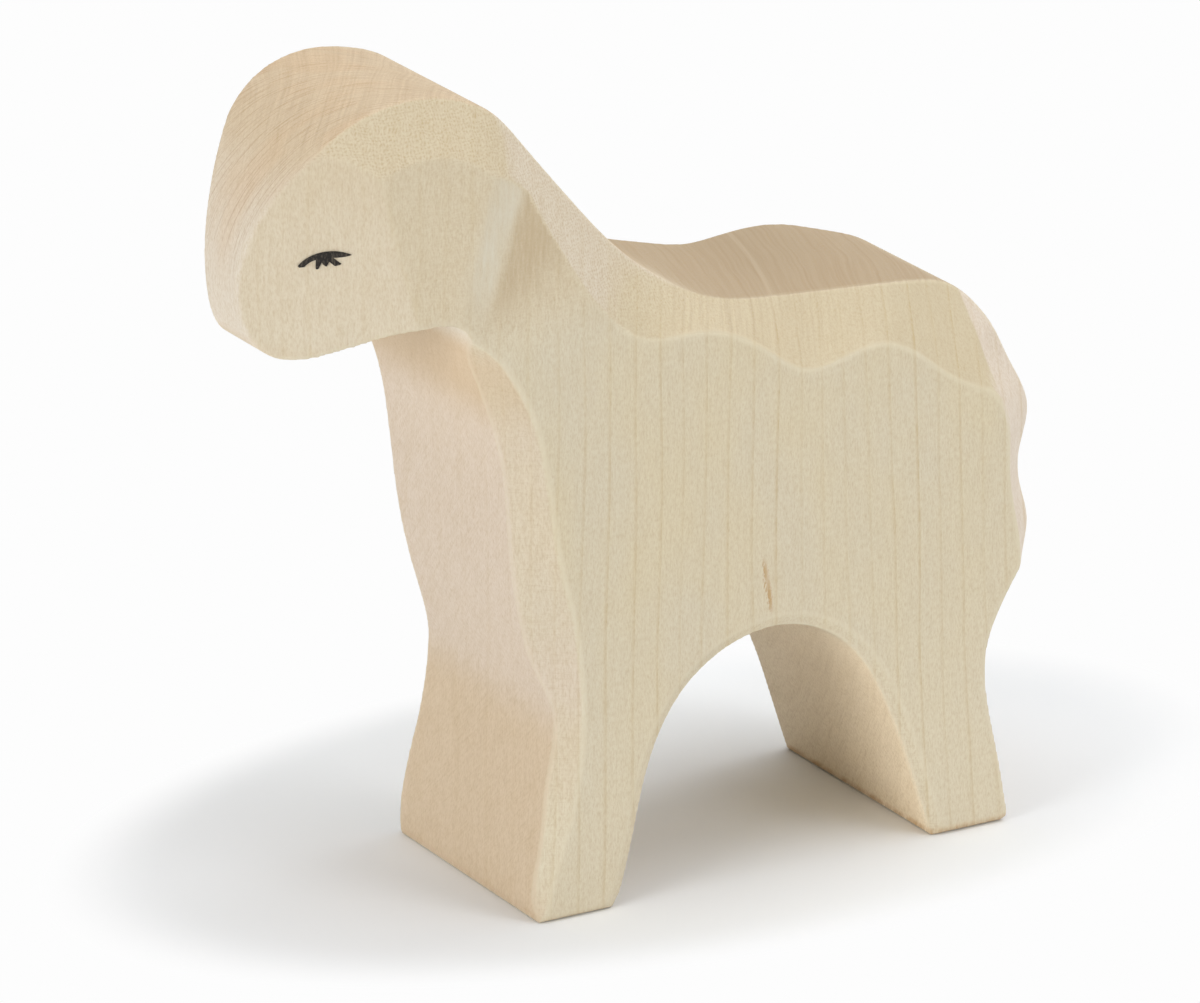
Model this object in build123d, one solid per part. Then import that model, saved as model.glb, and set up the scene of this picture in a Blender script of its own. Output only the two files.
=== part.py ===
from build123d import *
from math import hypot, radians, tan
import os

# A standing sheep, sawn from one maple board and carved on both faces, with an
# eye painted on each cheek. Millimetres: nose towards -X, feet on z = 0, the
# board's middle plane at y = 0, the sheep's left face at -Y.

board_thickness = 34.0
half_board = board_thickness / 2

# Heights that drive the rest: the head hangs from the crown, and the neck and the
# chest fill what is left down to the withers and the knee
crown_height = 100.5
withers_height = 71.5
knee_height = 24.2
throat_height = crown_height - 26.6


def up_neck(share):
    return withers_height + share * (crown_height - withers_height)


def up_chest(share):
    return knee_height + share * (throat_height - knee_height)


# Outline from under the chin, over the muzzle, to the forehead, as (x, z)
chin = (-45.7, crown_height - 30.0)
nose = (-50.3, crown_height - 23.0)
head_front = [
    chin,
    (-48.6, crown_height - 28.1),
    nose,
    (-50.0, crown_height - 17.5),
    (-47.8, crown_height - 11.3),
]

# Outline and bevel of the upper edge, from brow to croup, as (x, z, cut, reach):
# the bevel comes in by cut from the board's face and reaches that far down it
brow = [
    (-44.2, crown_height - 5.9, 7.3, 14.0),
    (-40.5, crown_height - 2.5, 6.0, 14.0),
]
crown = (-32.3, crown_height, 5.5, 10.4)
nape = [
    (-26.3, crown_height - 0.9, 5.7, 9.4),
    (-22.3, crown_height - 2.8, 5.2, 10.0),
    (-18.4, up_neck(0.762), 5.1, 10.2),
    (-11.9, up_neck(0.49), 5.0, 10.6),
    (-5.3, up_neck(0.241), 5.0, 9.3),
    (0.0, up_neck(0.097), 4.9, 5.6),
]
withers = (5.3, withers_height, 4.6, 3.3)
saddle = [
    (11.3, 69.9, 5.0, 4.9),
    (16.3, 69.1, 6.1, 7.3),
    (21.3, 69.0, 5.4, 6.9),
    (27.3, 69.0, 4.4, 6.0),
    (32.1, 68.5, 4.7, 7.7),
    (35.7, 67.7, 6.0, 9.7),
    (39.7, 66.5, 7.0, 10.8),
]

# The same for the rump, from the croup down to where its bevel runs out
rump = [
    (41.8, 65.3, 6.9, 14.0),
    (45.5, 60.7, 5.3, 12.0),
    (47.6, 56.4, 5.0, 7.4),
    (49.9, 52.0, 5.0, 5.8),
]
tail = (50.4, 49.9, 5.0, 5.8)
haunch = [
    (48.9, 44.4, 4.5, 4.1),
    (48.9, 40.5, 4.0, 3.6),
    (49.3, 36.8, 3.0, 3.3),
    (47.2, 32.7, 0.9, 0.7),
    (45.1, 29.4, -2.0, -2.0),
]

# Back of the hind leg, from the hock to the heel, as (x, z)
hind_leg = [(42.0, 22.0), (42.0, 17.9), (44.0, 8.0), (45.3, 1.1)]
hind_heel = (44.9, 0.0)

# Arch under the belly, from the hind toe to the front heel, as (x, z)
arch = [
    (34.9, 0.0),
    (31.9, 9.0),
    (27.6, 19.8),
    (22.0, 27.4),
    (13.0, 30.6),
    (5.7, 28.8),
    (0.7, 25.1),
    (-3.1, 19.0),
    (-5.6, 10.2),
    (-7.8, 1.6),
]
front_heel = (-8.9, 0.0)
arch_cut = 0.8
arch_reach = 1.5

# Outline and bevel of the front, from the toe up to the throat
toe = (-18.7, 0.0, 0.6, 0.6)
foreleg = [
    (-19.1, 2.3, 1.1, 1.4),
    (-18.2, 8.9, 1.2, 2.5),
    (-16.9, 15.8, 2.1, 3.1),
]
knee = (-15.7, knee_height, 2.2, 2.7)
chest = [
    (-17.3, up_chest(0.117), 3.9, 4.0),
    (-19.0, up_chest(0.231), 4.0, 5.0),
    (-20.5, up_chest(0.39), 3.6, 4.6),
    (-21.9, up_chest(0.646), 3.3, 3.9),
    (-23.2, up_chest(0.753), 3.6, 3.8),
    (-25.2, up_chest(0.861), 3.5, 3.1),
    (-27.0, up_chest(0.952), 1.8, 1.2),
]

# Underside of the jaw, from the throat to the chin, as (x, z)
jaw = [
    (-28.2, throat_height),
    (-31.0, throat_height + 0.9),
    (-37.8, crown_height - 27.4),
    (-41.8, crown_height - 29.2),
]

# Bevel stations beyond the ends of the outline, where each knife cut starts or runs out
brow_lead = (-47.8, crown_height - 11.3, 10.2, 14.0)
croup_run_out = (55.0, 62.0, 7.0, 11.0)
croup_lead = (38.8, 69.0, 6.4, 14.0)
toe_lead = (-18.6, -3.0, 0.6, 0.6)
throat_run_out = (-28.0, throat_height + 0.1, -2.0, -2.0)

# Headings of the outline where two stretches of it meet, as (x, z)
chin_heading = (-1.0, 0.1)
withers_heading = (1.0, -0.38)
heel_heading = (0.2, -1.0)
toe_heading = (-0.2, 1.0)
throat_heading = (-1.0, 1.0)

# Flat cheek that tapers the head to the muzzle
muzzle_width = 7.5
muzzle_height = crown_height - 22.5
cheek_taper = 36.0
cheek_lean = 5.3

# Side of the head and the hollow behind it, at throat and crown level, as
# (z, cut at the nose, ear's edge, bottom of the hollow), the last two as (x, cut)
hollow_levels = [
    (crown_height - 32.5, 4.6, (-30.6, 0.0), (-27.3, -0.1)),
    (crown_height - 2.5, 3.6, (-21.6, 1.7), (-15.3, 3.15)),
]
hollow_run_out = 16.0
hollow_exit = 0.2

# Soft corner along the soles, and how far each cutter stands clear of the board
sole_cut = 0.7
overcut = 2.5

# Painted eye: its place on the cheek, the thickness of its paint, the edges of the
# lowered lid and the lashes under it, with points measured along the cheek and upwards
eye_x = -42.5
eye_z = crown_height - 17.3
eye_paint = 0.15
lid_top = [(-2.95, -1.1), (-1.95, -0.16), (-0.2, 0.63), (1.4, 0.81), (3.13, 0.45)]
lid_under = [(2.2, 0.18), (0.9, 0.03), (-1.05, -0.33), (-2.2, -1.18)]
lid_corner = (-2.8, -1.27)
lashes = [
    [(-0.9, -0.2), (-0.95, -1.3), (-0.82, -1.42), (-0.62, -1.35), (0.0, -0.1)],
    [(-0.45, -0.1), (-0.1, -0.79), (0.18, -1.02), (0.35, -1.01), (0.62, -0.4), (0.5, 0.1)],
    [(0.3, -0.2), (1.25, -0.95), (1.82, -0.78), (1.94, -0.67), (0.9, 0.1)],
]

down = Vector(0, 0, -1)
up = Vector(0, 0, 1)
back = Vector(1, 0, 0)
forward = Vector(-1, 0, 0)


def outline(*stations):
    return [(x, z) for x, z, cut, reach in stations]


def bevel(stations):
    # Knife cut along an edge of the left face, from stations of
    # (x, z, cut, reach, direction of the reach): a wedge at each, its corners joined by splines
    wedges = []
    travel = [0.0]
    for x, z, cut, reach, inward in stations:
        corner = Vector(x, -half_board, z)
        on_edge = corner + Vector(0, cut, 0)
        on_face = corner + inward * reach
        along = (on_face - on_edge).normalized()
        outside = corner - inward * overcut - Vector(0, overcut, 0)
        wedges.append((on_edge - along * overcut, on_face + along * overcut, outside))
    for start, end in zip(stations, stations[1:]):
        travel.append(travel[-1] + hypot(end[0] - start[0], end[1] - start[1]))
    edge, face, clear = [Edge.make_spline(list(track), parameters=travel) for track in zip(*wedges)]
    sides = [Face.make_surface_from_curves(*pair) for pair in ((edge, face), (face, clear), (clear, edge))]
    ends = [make_face(Polyline(*wedge, close=True)).face() for wedge in (wedges[0], wedges[-1])]
    return Solid(Shell(sides + ends))


def extended(rows, direction, before=None, after=None):
    # Bevel stations of an outline, with one more beyond either end
    stations = [row + (direction,) for row in rows]
    if before:
        stations.insert(0, before + (direction,))
    if after:
        stations.append(after + (direction,))
    return stations


def stretch(points, start_heading, end_heading):
    return Spline(*points, tangents=[start_heading, end_heading], tangent_scalars=[1, 1])


def sheep_outline():
    # Smooth stretches that meet where the outline runs level or upright
    level, downward, upward = (1, 0), (0, -1), (0, 1)
    return make_face([
        stretch(head_front + outline(*brow, crown), chin_heading, level),
        stretch(outline(crown, *nape, withers), level, withers_heading),
        stretch(outline(withers, *saddle, *rump, tail), withers_heading, downward),
        stretch(outline(tail, *haunch) + hind_leg, downward, heel_heading),
        Line(hind_leg[-1], hind_heel),
        Line(hind_heel, arch[0]),
        Spline(*arch),
        Line(arch[-1], front_heel),
        Line(front_heel, *outline(toe)),
        stretch(outline(toe, *foreleg, knee), toe_heading, upward),
        stretch(outline(knee, *chest) + jaw[:1], upward, throat_heading),
        stretch(jaw + [chin], throat_heading, chin_heading),
    ])


def arch_stations():
    # Even steps along the arch, with one more below the ground at either end
    belly = Spline(*arch)
    steps = 12
    stations = []
    for step in range(-1, steps + 2):
        along = min(max(step / steps, 0.0), 1.0)
        heading = belly % along
        place = belly @ along + heading * overcut * (step / steps - along) * steps
        stations.append((place.X, place.Y, arch_cut, arch_reach, Vector(heading.Y, 0, -heading.X)))
    return stations


def cheek_plane(x, z):
    # Plane of the left cheek, placed where it passes over (x, z)
    across = tan(radians(cheek_taper))
    rise = tan(radians(cheek_lean))
    half_width = muzzle_width / 2 + across * (x - nose[0]) + rise * (z - muzzle_height)
    outward = Vector(-across, -1, -rise)
    return Plane(origin=(x, -half_width, z), x_dir=(1, -across, 0), z_dir=outward)


def cheek_cutter():
    size = 4 * board_thickness
    block = Box(size, size, board_thickness, align=(Align.CENTER, Align.CENTER, Align.MIN))
    return cheek_plane(*nose) * block


def hollow_cutter():
    # Side of the head as far as the ear's edge, then the hollow of the neck
    front_x = nose[0] - overcut
    levels = []
    for z, nose_cut, ear, valley in hollow_levels:
        end_x = valley[0] + hollow_run_out
        knife = [(front_x, nose_cut), ear, valley, (end_x, -hollow_exit)]
        clear = [(end_x, -overcut), (front_x, -overcut)]
        corners = [(x, cut - half_board, z) for x, cut in knife + clear]
        levels.append(make_face(Polyline(*corners, close=True)))
    return loft(levels, ruled=True)


def carved_body():
    upper_edge = [*brow, crown, *nape, withers, *saddle]
    sole_ends = (toe[0] - board_thickness, hind_heel[0] + board_thickness)
    body = extrude(Plane.XZ.offset(-half_board) * sheep_outline(), board_thickness)
    cutters = [
        cheek_cutter(),
        hollow_cutter(),
        bevel(extended(upper_edge, down, before=brow_lead, after=croup_run_out)),
        bevel(extended([*rump, tail, *haunch], forward, before=croup_lead)),
        bevel(extended([toe, *foreleg, knee, *chest], back, before=toe_lead, after=throat_run_out)),
        bevel(arch_stations()),
        bevel([(x, 0.0, sole_cut, sole_cut, up) for x in sole_ends]),
    ]
    for cutter in cutters:
        body -= [cutter, mirror(cutter, Plane.XZ)]
    return body


def painted_eye():
    # Lid as one tapering stroke, joined by its lashes
    under = Spline(lid_top[-1], *lid_under)
    blunt_end = Polyline(lid_under[-1], lid_corner, lid_top[0])
    stroke = make_face([Spline(*lid_top), under, blunt_end])
    for lash in lashes:
        stroke += make_face(Polyline(*lash, close=True))
    return extrude(cheek_plane(eye_x, eye_z) * stroke, eye_paint)


def main():
    left_eye = painted_eye()
    parts = {
        "carved_body": carved_body(),
        "left_eye": left_eye,
        "right_eye": mirror(left_eye, Plane.XZ),
    }
    os.makedirs("parts", exist_ok=True)
    for name, part in parts.items():
        export_step(part, f"parts/{name}.step")


main()
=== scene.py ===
import math

import bpy
import numpy as np
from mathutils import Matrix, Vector


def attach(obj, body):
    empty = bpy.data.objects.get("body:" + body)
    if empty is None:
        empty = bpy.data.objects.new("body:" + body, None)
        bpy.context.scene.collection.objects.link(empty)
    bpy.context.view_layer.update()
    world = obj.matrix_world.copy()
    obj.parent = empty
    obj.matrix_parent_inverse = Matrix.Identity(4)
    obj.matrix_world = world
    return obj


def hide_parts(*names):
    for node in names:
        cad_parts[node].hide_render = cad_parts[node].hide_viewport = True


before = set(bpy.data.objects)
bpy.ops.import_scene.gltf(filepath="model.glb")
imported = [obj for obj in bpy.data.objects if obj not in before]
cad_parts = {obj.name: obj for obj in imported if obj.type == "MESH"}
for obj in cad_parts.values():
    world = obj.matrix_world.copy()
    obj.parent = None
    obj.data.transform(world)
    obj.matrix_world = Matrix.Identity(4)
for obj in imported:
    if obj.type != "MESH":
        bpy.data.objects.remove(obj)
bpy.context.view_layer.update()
scene = bpy.context.scene
print("frame loaded:", sorted(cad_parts))


def tone(red, green, blue):
    # a screen colour, 0 to 255, as the linear values that shaders take
    linear = []
    for level in (red, green, blue):
        share = level / 255
        linear.append(share / 12.92 if share <= 0.04045 else ((share + 0.055) / 1.055) ** 2.4)
    return (*linear, 1.0)


class Wire:
    # one output socket, which Python arithmetic turns into Math nodes
    def __init__(self, finish, socket):
        self.finish = finish
        self.socket = socket

    def __getitem__(self, output):
        return Wire(self.finish, self.socket.node.outputs[output])

    def maths(self, operation, *values):
        return self.finish.add("ShaderNodeMath", {"operation": operation}, dict(enumerate(values)))

    def __add__(self, other):
        return self.maths("ADD", self, other)

    def __radd__(self, other):
        return self.maths("ADD", other, self)

    def __sub__(self, other):
        return self.maths("SUBTRACT", self, other)

    def __rsub__(self, other):
        return self.maths("SUBTRACT", other, self)

    def __mul__(self, other):
        return self.maths("MULTIPLY", self, other)

    def __rmul__(self, other):
        return self.maths("MULTIPLY", other, self)

    def __truediv__(self, other):
        return self.maths("DIVIDE", self, other)

    def __pow__(self, other):
        return self.maths("POWER", self, other)

    def __abs__(self):
        return self.maths("ABSOLUTE", self)

    def __mod__(self, other):
        return self.maths("FLOORED_MODULO", self, other)

    def wave(self):
        # swings from -1 to 1, once for each whole step
        return self.maths("SINE", self * math.tau)

    def larger(self, other):
        return self.maths("MAXIMUM", self, other)

    def rise(self, low, high):
        # 0 at low, 1 at high, smooth between; low may be above high
        settings = {"interpolation_type": "SMOOTHSTEP"}
        ends = {"Value": self, "From Min": low, "From Max": high, "To Min": 0.0, "To Max": 1.0}
        if low > high:
            ends.update({"From Min": high, "From Max": low, "To Min": 1.0, "To Max": 0.0})
        return self.finish.add("ShaderNodeMapRange", settings, ends)


class Finish:
    def __init__(self, name, holder=None):
        self.holder = holder or bpy.data.materials.new(name)
        self.holder.use_nodes = True
        self.tree = self.holder.node_tree
        self.tree.nodes.clear()

    def add(self, kind, settings=None, inputs=None, output=0):
        node = self.tree.nodes.new(kind)
        for name, value in (settings or {}).items():
            setattr(node, name, value)
        for key, value in (inputs or {}).items():
            if isinstance(value, Wire):
                self.tree.links.new(value.socket, node.inputs[key])
            else:
                node.inputs[key].default_value = value
        return Wire(self, node.outputs[output]) if node.outputs else None

    def mix(self, share, first, second):
        return self.add("ShaderNodeMix", {"data_type": "RGBA"}, {0: share, 6: first, 7: second}, 2)

    def stretched(self, place, sizes):
        # coordinates in which each axis counts in its own unit length
        return self.add("ShaderNodeVectorMath", {"operation": "DIVIDE"}, {0: place, 1: sizes})

    def noise(self, place, sizes, detail=2.0, rough=0.5):
        # smooth noise, about -1 to 1, with features of those sizes in metres
        inputs = {"Scale": 1.0, "Detail": detail, "Roughness": rough}
        inputs["Vector"] = self.stretched(place, sizes)
        return self.add("ShaderNodeTexNoise", {"normalize": False}, inputs)

    def seen(self):
        # 1 for what the camera sees straight, in a mirror or through glass
        path = self.add("ShaderNodeLightPath", output="Is Camera Ray")
        return path.larger(path["Is Glossy Ray"]).larger(path["Is Transmission Ray"])

    def end(self, shader):
        isWorld = isinstance(self.holder, bpy.types.World)
        kind = "ShaderNodeOutputWorld" if isWorld else "ShaderNodeOutputMaterial"
        self.add(kind, None, {"Surface": shader})
        return self.holder


# Body: the carved solid with its edges eased by sanding

bodyShape = {
    "grid": 0.00027,       # spacing of the sanded skin's points
    "easing": 2,           # rounds of sanding over every edge
    "edgeRounds": 6,       # rounds that find where an edge was
    "edgeDepth": 0.00008,  # a rounding this deep counts as a full edge
}


def meshArrays(mesh):
    points = np.empty(len(mesh.vertices) * 3, np.float32)
    mesh.vertices.foreach_get("co", points)
    pairs = np.empty(len(mesh.edges) * 2, np.int32)
    mesh.edges.foreach_get("vertices", pairs)
    return points.reshape(-1, 3).astype(float), pairs.reshape(-1, 2)


def neighbourMean(points, pairs):
    first, second = pairs[:, 0], pairs[:, 1]
    count = np.bincount(pairs.ravel(), minlength=len(points))
    mean = np.empty_like(points)
    for axis in range(3):
        total = np.bincount(first, points[second, axis], len(points))
        total += np.bincount(second, points[first, axis], len(points))
        mean[:, axis] = total / count
    return mean


def sanded(points, pairs, rounds):
    for _ in range(rounds):
        points = 0.5 * points + 0.5 * neighbourMean(points, pairs)
    return points


def carvedSkin():
    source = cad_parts["carved_body"]
    piece = bpy.data.objects.new("maple_body", source.data.copy())
    scene.collection.objects.link(piece)
    voxels = piece.modifiers.new("voxels", "REMESH")
    voxels.mode = "VOXEL"
    voxels.voxel_size = bodyShape["grid"]
    skin = bpy.data.meshes.new_from_object(piece.evaluated_get(bpy.context.evaluated_depsgraph_get()))
    piece.modifiers.clear()
    piece.data = skin
    points, pairs = meshArrays(skin)
    points = sanded(points, pairs, bodyShape["easing"])
    skin.vertices.foreach_set("co", points.astype(np.float32).ravel())
    skin.update()
    normals = np.empty(len(points) * 3, np.float32)
    skin.vertex_normals.foreach_get("vector", normals)
    hidden = sanded(points, pairs, bodyShape["edgeRounds"])
    proud = np.einsum("ij,ij->i", points - hidden, normals.reshape(-1, 3)) / bodyShape["edgeDepth"]
    edge = skin.attributes.new("edge", "FLOAT", "POINT")
    edge.data.foreach_set("value", np.clip(proud, -1, 1).astype(np.float32))
    skin.shade_smooth()
    print("body skin:", len(points), "points")
    return piece


mapleLook = {
    # tones of the bare wood, facet by facet
    "gold": tone(229, 217, 188),       # sawn sides, warm and cool patches
    "grey": tone(227, 217, 193),
    "low": tone(235, 225, 201),        # towards the feet
    "head": tone(224, 211, 184),
    "snout": tone(236, 225, 208),
    "chest": tone(231, 215, 197),
    # painted shadow of the head, under the chin
    "throat": tone(220, 197, 167),
    "shin": tone(230, 209, 181),
    "inner": tone(251, 233, 203),      # sheltered face of the hind leg, made paler as painted light
    "rump": tone(234, 222, 207),
    "bevel": tone(219, 206, 177),
    "nape": tone(226, 215, 196),
    "strip": tone(229, 221, 201),      # painted highlight on the wall behind the ear
    "hollow": tone(196, 175, 142),
    "back": tone(187, 168, 141),       # end grain
    "forehead": tone(223, 204, 176),

    # tones of the marks on it
    "flush": tone(222, 186, 146),      # warm stains and scratches on the forehead
    "scratch": tone(178, 138, 94),
    "dark": tone(190, 160, 112),
    "ring": tone(199, 170, 108),
    # a pale ring over the back, and painted highlight along the eased edges
    "rubbed": tone(236, 226, 200),
    "scorched": tone(158, 122, 84),    # rings and grain where the wood faces up
    "mineral": tone(192, 148, 88),

    # how strongly each mark shows
    "stains": 0.24,
    "rings": 0.46,
    "threads": 0.1,
    "dashes": 0.12,
    "fuzz": 0.24,
    "weave": 0.4,
    "sawn": 0.14,
    "scratches": 0.42,
    "paleLine": 0.2,
    # painted highlight along the eased edges
    "worn": 0.3,
    "stripShare": 0.52,
    "hollowShare": 0.65,
    "streakShare": 0.55,

    # heights over which one tone gives way to the next
    "feet": (0.04, 0.0),
    "knee": (0.0275, 0.02),
    "arch": (0.046, 0.04),
    "throatLine": (0.058, 0.066),
    "chin": (0.07, 0.074),
    "neck": (0.07, 0.078),
    "browLine": (0.083, 0.098),
    "crown": (0.08, 0.09),

    # where things lie, in metres
    "pith": (-0.085, 0.0375),          # middle of the tree, in x and y
    "ringGap": 0.003,
    "ringLean": 1.1,                   # how the rings lean towards the rump
    "upright": 0.015,                  # ahead of the middle, where they stand upright
    "paleRing": 0.1115,                # radius of one pale ring across the back
    "streak": (0.0116, 0.0362),        # mineral streak above the arch, in x and z
    "streakSize": (0.00045, 0.0041),
    "streakLean": -0.165,
    "valley": (-0.0273, 0.068),        # bottom of the hollow behind the ear, in x and z
    "valleyLean": 0.4,                 # its run in x for each step up
    "rumpRidge": (0.0416, 0.0646),     # upper end of the rump's carved edge, in x and z
    "ridgeLean": 0.16,
    "weaveGap": 0.00042,               # between the crossed sanding marks on the crown
    "face": 0.017,                     # half of the board's thickness
    "roughness": 0.62,
}


def growthRings(finish, place, spot):
    look = mapleLook
    offX = spot["X"] - look["pith"][0]
    offY = spot["Y"] - look["pith"][1]
    radius = (offX * offX + offY * offY) ** 0.5
    bend = finish.noise(place, (0.03, 0.03, 0.09))
    ripple = finish.noise(place, (0.006, 0.006, 0.035))
    lean = (spot["X"] + look["upright"]) * look["ringLean"] * spot["Z"]
    return radius, radius + bend * 0.0016 + ripple * 0.0002 + lean


def facetTones(finish, spot, turned, cloud):
    # sawn sides, flat-sawn front and rump, end grain on the soles and on top; painted shadow under the chin
    # and painted light on the hind leg's inner face
    look = mapleLook
    z = spot["Z"]
    sides = finish.mix(0.5 + cloud * 0.9, look["gold"], look["grey"])
    sides = finish.mix(z.rise(*look["feet"]) * 0.7, sides, look["low"])
    sides = finish.mix(z.rise(*look["neck"]), sides, look["head"])
    bevel = turned["Z"].rise(0.3, 0.45) * (0.5 + z.rise(0.076, 0.07) * 0.5)
    sides = finish.mix(bevel, sides, look["bevel"])
    sides = finish.mix(turned["X"].rise(0.3, 0.45) * z.rise(0.07, 0.076), sides, look["nape"])

    front = finish.mix(z.rise(*look["knee"]), look["chest"], look["shin"])
    # painted light: a paler tone on the hind leg's inner face, under the arch
    front = finish.mix(spot["X"].rise(0.0, 0.012) * z.rise(*look["arch"]), front, look["inner"])
    # painted shadow of the head: a darker brown band just under the chin
    front = finish.mix(z.rise(*look["throatLine"]), front, look["throat"])
    front = finish.mix(z.rise(*look["chin"]), front, look["snout"])
    front = finish.mix(z.rise(*look["browLine"]), front, look["forehead"])
    tones = finish.mix(turned["X"].rise(-0.45, -0.85), sides, front)

    ridge = spot["X"] - look["rumpRidge"][0] - (look["rumpRidge"][1] - z) * look["ridgeLean"]
    carved = ridge.rise(0.0, 0.0004) * turned["X"].rise(0.1, 0.2) * z.rise(0.047, 0.052)
    rear = turned["X"].rise(0.46, 0.58) * z.rise(0.07, 0.065)
    tones = finish.mix(carved.larger(rear), tones, look["rump"])

    soles = turned["Z"].rise(-0.75, -0.95) * z.rise(0.002, 0.001)
    tones = finish.mix(soles, tones, look["back"])
    onCrown = z.rise(*look["crown"])
    top = finish.mix(onCrown, look["back"], look["forehead"])
    level = turned["Z"].rise(0.8, 0.97).larger(turned["Z"].rise(0.55, 0.75) * onCrown)
    return finish.mix(level, tones, top)


def neckHollow(spot, turned):
    # a pale painted highlight strip behind the ear, then a darker brown patch where the hollow runs out
    # short of the nape's bevel
    look = mapleLook
    behind = spot["X"] - look["valley"][0] - (spot["Z"] - look["valley"][1]) * look["valleyLean"]
    depth = look["face"] - abs(spot["Y"])
    strip = behind.rise(-0.0066, -0.0034) * behind.rise(-0.0002, -0.0016) * depth.rise(0.0003, 0.001)
    strip = strip * turned["X"].rise(0.3, 0.15) * spot["Z"].rise(0.069, 0.08) * spot["Z"].rise(0.104, 0.092)
    brown = behind.rise(-0.0009, 0.0006) * depth.rise(0.0002, 0.0011) * turned["Z"].rise(0.3, 0.18)
    return strip, brown * spot["X"].rise(-0.006, -0.01) * spot["Z"].rise(0.069, 0.077)


def mineralStreak(spot, ripple):
    look = mapleLook
    up = spot["Z"] - look["streak"][1]
    along = up / look["streakSize"][1]
    aside = spot["X"] - look["streak"][0] - up * look["streakLean"]
    across = (aside + ripple * 0.0004) / look["streakSize"][0]
    return (across * across + along * along).rise(1.0, 0.2) * spot["Y"].rise(-0.012, -0.015)


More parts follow.
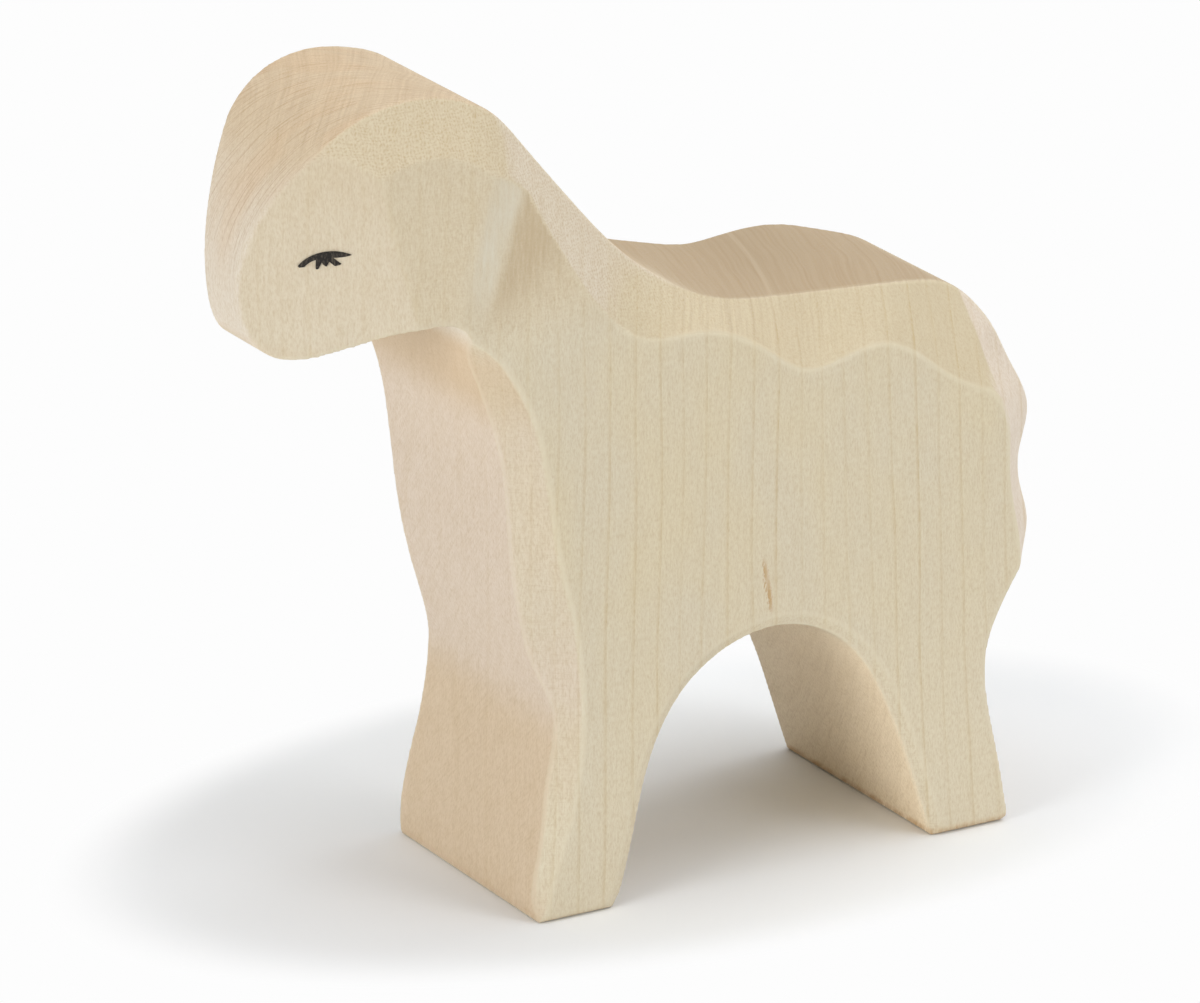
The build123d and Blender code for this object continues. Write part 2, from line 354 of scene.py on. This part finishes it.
def mapleFinish():
    look = mapleLook
    finish = Finish("maple")
    place = finish.add("ShaderNodeTexCoord", output="Object")
    spot = finish.add("ShaderNodeSeparateXYZ", None, {0: place})
    normal = finish.add("ShaderNodeNewGeometry", output="Normal")
    turned = finish.add("ShaderNodeSeparateXYZ", None, {0: normal})
    x, y, z = spot["X"], spot["Y"], spot["Z"]
    upward = turned["Z"].rise(0.5, 0.8)
    onHead = z.rise(0.066, 0.076)

    # growth rings, each of its own strength, and threads of grain that follow them
    radius, reach = growthRings(finish, place, spot)
    count = reach / look["ringGap"]
    ring = count % 1.0
    strength = finish.add("ShaderNodeTexWhiteNoise", {"noise_dimensions": "1D"}, {"W": count - ring})
    alongRings = finish.add("ShaderNodeCombineXYZ", None, {0: reach, 1: y, 2: z})
    broken = finish.noise(alongRings, (0.0012, 0.003, 0.0014)).rise(-0.3, 0.5)
    rings = ring.rise(0.82, 0.965) * ring.rise(1.0, 0.97)
    rings = rings * (0.55 + broken * 0.45) * (0.35 + strength * 0.65)
    threads = finish.noise(alongRings, (0.00045, 0.02, 0.004), 3.0, 0.6)
    dashes = finish.noise(alongRings, (0.0003, 0.01, 0.0012), 1.0).rise(0.3, 0.75)
    fuzz = finish.noise(place, (0.0002, 0.0002, 0.0006), 2.0, 0.65)
    cloud = finish.noise(place, (0.009, 0.009, 0.02), 3.0)

    # sanding weaves over the crown and nape, and slants over the brow and forehead
    sway = finish.noise(place, (0.0016, 0.0016, 0.0016)) * 0.9
    weave = (x / look["weaveGap"] + sway).wave() + (z / look["weaveGap"] + sway * 1.3).wave()
    weave = weave * 0.35 + finish.noise(place, (0.0004, 0.0004, 0.0002)) * 0.5
    weave = weave * turned["Z"].rise(-0.1, 0.34) * abs(turned["Y"]).rise(0.3, 0.5) * onHead
    brow = abs(turned["Y"]).rise(0.5, 0.3) * z.rise(0.076, 0.09)
    slant = finish.add("ShaderNodeCombineXYZ", None, {0: x * 0.82 - y * 0.57, 1: x * 0.57 + y * 0.82})
    scratches = finish.noise(slant, (0.006, 0.0002, 1.0), 2.0, 0.65) * brow
    stains = finish.noise(slant, (0.012, 0.005, 1.0)) * brow

    # fine saw lines level across the bevels at the front, and slanting ones down the shin
    edgewise = turned["X"].rise(-0.3, -0.45) * turned["X"].rise(-0.9, -0.75) * z.rise(0.072, 0.066)
    ahead = turned["X"].rise(-0.8, -0.92) * z.rise(0.07, 0.066)
    downward = finish.add("ShaderNodeCombineXYZ", None, {0: y * 0.7 + z * 0.7, 1: y * 0.7 - z * 0.7})
    sawn = finish.noise(place, (0.002, 0.002, 0.00017)) * edgewise
    sawn = sawn + finish.noise(downward, (0.00022, 0.006, 1.0)) * ahead

    grain = finish.mix(upward, look["dark"], look["scorched"])
    ringTone = finish.mix(upward, look["ring"], look["scorched"])
    wood = facetTones(finish, spot, turned, cloud)
    wood = finish.mix(stains.rise(-0.1, 0.5) * look["stains"], wood, look["flush"])
    rings = rings * (1 - onHead * 0.6) * (1 - turned["X"].rise(-0.5, -0.8) * 0.75) * (1 - upward * 0.4)
    wood = finish.mix(rings * look["rings"], wood, ringTone)
    wood = finish.mix((0.4 + threads * 0.9) * (1 + upward) * look["threads"], wood, grain)
    wood = finish.mix(dashes * look["dashes"], wood, look["dark"])
    wood = finish.mix((0.4 + fuzz * 1.1) * look["fuzz"], wood, look["dark"])
    marks = weave.rise(-0.2, 0.9) * look["weave"] + sawn.rise(0.0, 0.8) * look["sawn"]
    wood = finish.mix(marks, wood, look["dark"])
    wood = finish.mix(scratches.rise(0.0, 0.7) * look["scratches"], wood, look["scratch"])

    # one pale ring over the back, painted highlights along the edges, a painted highlight strip behind the
    # ear, the brown hollow, feet and streak
    paleRing = abs(radius - look["paleRing"]).rise(0.0005, 0.0001)
    paleRing = paleRing * turned["Z"].rise(0.4, 0.9) * (1 - onHead)
    wood = finish.mix(paleRing * (look["paleLine"] + threads * 0.1), wood, look["rubbed"])
    edge = finish.add("ShaderNodeAttribute", {"attribute_name": "edge"}, output="Fac")
    # painted highlight along the eased edges, weaker on the head and where the edge faces up
    worn = edge.rise(0.06, 0.5) * (1 - onHead * 0.65) * (0.4 + turned["Z"].rise(0.75, 0.5) * 0.6)
    wood = finish.mix(worn * (look["worn"] + fuzz * 0.2), wood, look["rubbed"])
    strip, brown = neckHollow(spot, turned)
    # painted highlight on the hollow's wall behind the ear
    wood = finish.mix(strip * (look["stripShare"] + threads * 0.4), wood, look["strip"])
    wood = finish.mix(brown * (look["hollowShare"] + threads * 0.3), wood, look["hollow"])
    grimy = z.rise(0.0014, 0.0005) * turned["Z"].rise(-0.95, -0.75) * (0.15 + x.rise(0.0, 0.02) * 0.5)
    wood = finish.mix(grimy * (0.6 + threads * 0.5), wood, look["mineral"])
    streak = mineralStreak(spot, fuzz) * (look["streakShare"] + threads * 0.3)
    wood = finish.mix(streak, wood, look["mineral"])

    height = threads * 0.2 + fuzz * 0.6 + (weave * 0.5 + sawn * 0.5 + scratches) * 0.6 - dashes * 0.3
    bump = finish.add("ShaderNodeBump", None, {"Height": height, "Strength": 0.4, "Distance": 0.00006})
    shader = finish.add("ShaderNodeBsdfPrincipled", None, {
        "Base Color": wood,
        "Roughness": look["roughness"] + fuzz * 0.06 - edge.rise(0.2, 1.0) * 0.05,
        "Specular IOR Level": 0.3,
        "Normal": bump,
    })
    return finish.end(shader)


body = carvedSkin()
body.data.materials.clear()
body.data.materials.append(mapleFinish())
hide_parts("carved_body")
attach(body, "root")
print("body dressed")


# Eyes: a brushed line of black paint on each cheek

eyeLook = {
    "paint": tone(34, 30, 27),
    "worn": tone(98, 90, 78),
    "roughness": 0.7,
}


def paintFinish():
    look = eyeLook
    finish = Finish("eyePaint")
    place = finish.add("ShaderNodeTexCoord", output="Object")
    grain = finish.noise(place, (0.00012, 0.00012, 0.0006), 3.0, 0.6)
    dabs = finish.noise(place, (0.0004, 0.0004, 0.0003))
    thin = (grain * 0.7 + dabs * 0.4).rise(-0.05, 0.5)
    bump = finish.add("ShaderNodeBump", None, {"Height": grain, "Strength": 0.4, "Distance": 0.00003})
    shader = finish.add("ShaderNodeBsdfPrincipled", None, {
        "Base Color": finish.mix(thin * 0.7, look["paint"], look["worn"]),
        "Roughness": look["roughness"] + dabs * 0.08,
        "Specular IOR Level": 0.25,
        "Normal": bump,
    })
    return finish.end(shader)


eyePaint = paintFinish()
for name in ("left_eye", "right_eye"):
    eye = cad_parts[name]
    eye.data.materials.clear()
    eye.data.materials.append(eyePaint)
print("eyes painted")


# Floor, light and camera

studio = {
    "floor": tone(250, 252, 254),
    "floorSize": 6.0,
    "floorDrop": 0.00002,          # keeps the floor just clear of the soles
    "shade": (0.011, 0.009),       # middle of the floor's shaded patch, in x and y
    "shadeSize": (0.068, 0.041),   # beyond it the floor fades into the white background
    "paper": tone(253, 253, 253),  # the background as the camera sees it
    "worldLevel": 0.08,
    "aim": (0, 0, 0.05),           # where the lamps point
    "lamps": {
        # degrees round from the near face towards the rump, degrees up, size, watts; each a metre away
        "above": (0, 86, 1.0, 4.1),
        "aboveBack": (180, 70, 1.0, 2.5),
        "left": (285, 13, 0.5, 4.4),
        "front": (30, 20, 0.5, 2.5),
        "right": (50, 50, 0.6, 1.45),
        "rim": (97, 42, 0.6, 1.55),
    },
}


def towards(azimuth, elevation):
    turn, climb = math.radians(azimuth), math.radians(elevation)
    return Vector((math.sin(turn) * math.cos(climb), -math.cos(turn) * math.cos(climb), math.sin(climb)))


def floorFinish():
    finish = Finish("floor")
    place = finish.add("ShaderNodeTexCoord", output="Object")
    spot = finish.add("ShaderNodeSeparateXYZ", None, {0: place})
    awayX = (spot["X"] - studio["shade"][0]) / studio["shadeSize"][0]
    awayY = (spot["Y"] - studio["shade"][1]) / studio["shadeSize"][1]
    away = awayX * awayX + awayY * awayY
    matte = finish.add("ShaderNodeBsdfDiffuse", None, {"Color": studio["floor"]})
    white = finish.add("ShaderNodeEmission", None, {"Color": studio["paper"], "Strength": 1.0})
    clear = finish.seen() * away.rise(0.8, 1.3)
    return finish.end(finish.add("ShaderNodeMixShader", None, {0: clear, 1: matte, 2: white}))


def studioFloor():
    half = studio["floorSize"] / 2
    mesh = bpy.data.meshes.new("floor")
    corners = [(-half, -half, 0), (half, -half, 0), (half, half, 0), (-half, half, 0)]
    mesh.from_pydata(corners, [], [(0, 1, 2, 3)])
    floor = bpy.data.objects.new("floor", mesh)
    floor.location.z = -studio["floorDrop"]
    mesh.materials.append(floorFinish())
    scene.collection.objects.link(floor)


def studioWorld():
    world = bpy.data.worlds.new("studio")
    finish = Finish("studio", world)
    light = {"Color": (1, 1, 1, 1), "Strength": studio["worldLevel"]}
    room = finish.add("ShaderNodeBackground", None, light)
    white = finish.add("ShaderNodeBackground", None, {"Color": studio["paper"], "Strength": 1.0})
    finish.end(finish.add("ShaderNodeMixShader", None, {0: finish.seen(), 1: room, 2: white}))
    scene.world = world


def studioLamps():
    target = Vector(studio["aim"])
    for name, (azimuth, elevation, size, watts) in studio["lamps"].items():
        light = bpy.data.lights.new(name, "AREA")
        light.shape = "DISK"
        light.size = size
        light.energy = watts
        lamp = bpy.data.objects.new(name, light)
        lamp.location = target + towards(azimuth, elevation)
        lamp.rotation_mode = "QUATERNION"
        lamp.rotation_quaternion = (target - lamp.location).to_track_quat("-Z", "Y")
        scene.collection.objects.link(lamp)


photoCamera = {
    "place": (-0.49917, -0.84869, 0.39961),
    "azimuth": -30.416,
    "elevation": 19.892,
    "lens": 270.0,
    "sensor": 36.0,
}


def studioCamera():
    back = towards(photoCamera["azimuth"], photoCamera["elevation"])
    lens = bpy.data.cameras.new("photo")
    lens.sensor_width = photoCamera["sensor"]
    lens.lens = photoCamera["lens"]
    lens.clip_start = 0.01
    lens.clip_end = 20.0
    camera = bpy.data.objects.new("photo", lens)
    camera.location = photoCamera["place"]
    camera.rotation_mode = "QUATERNION"
    camera.rotation_quaternion = (-back).to_track_quat("-Z", "Y")
    scene.collection.objects.link(camera)
    scene.camera = camera


studioFloor()
studioWorld()
studioLamps()
studioCamera()
scene.view_settings.view_transform = "Standard"
print("studio ready")
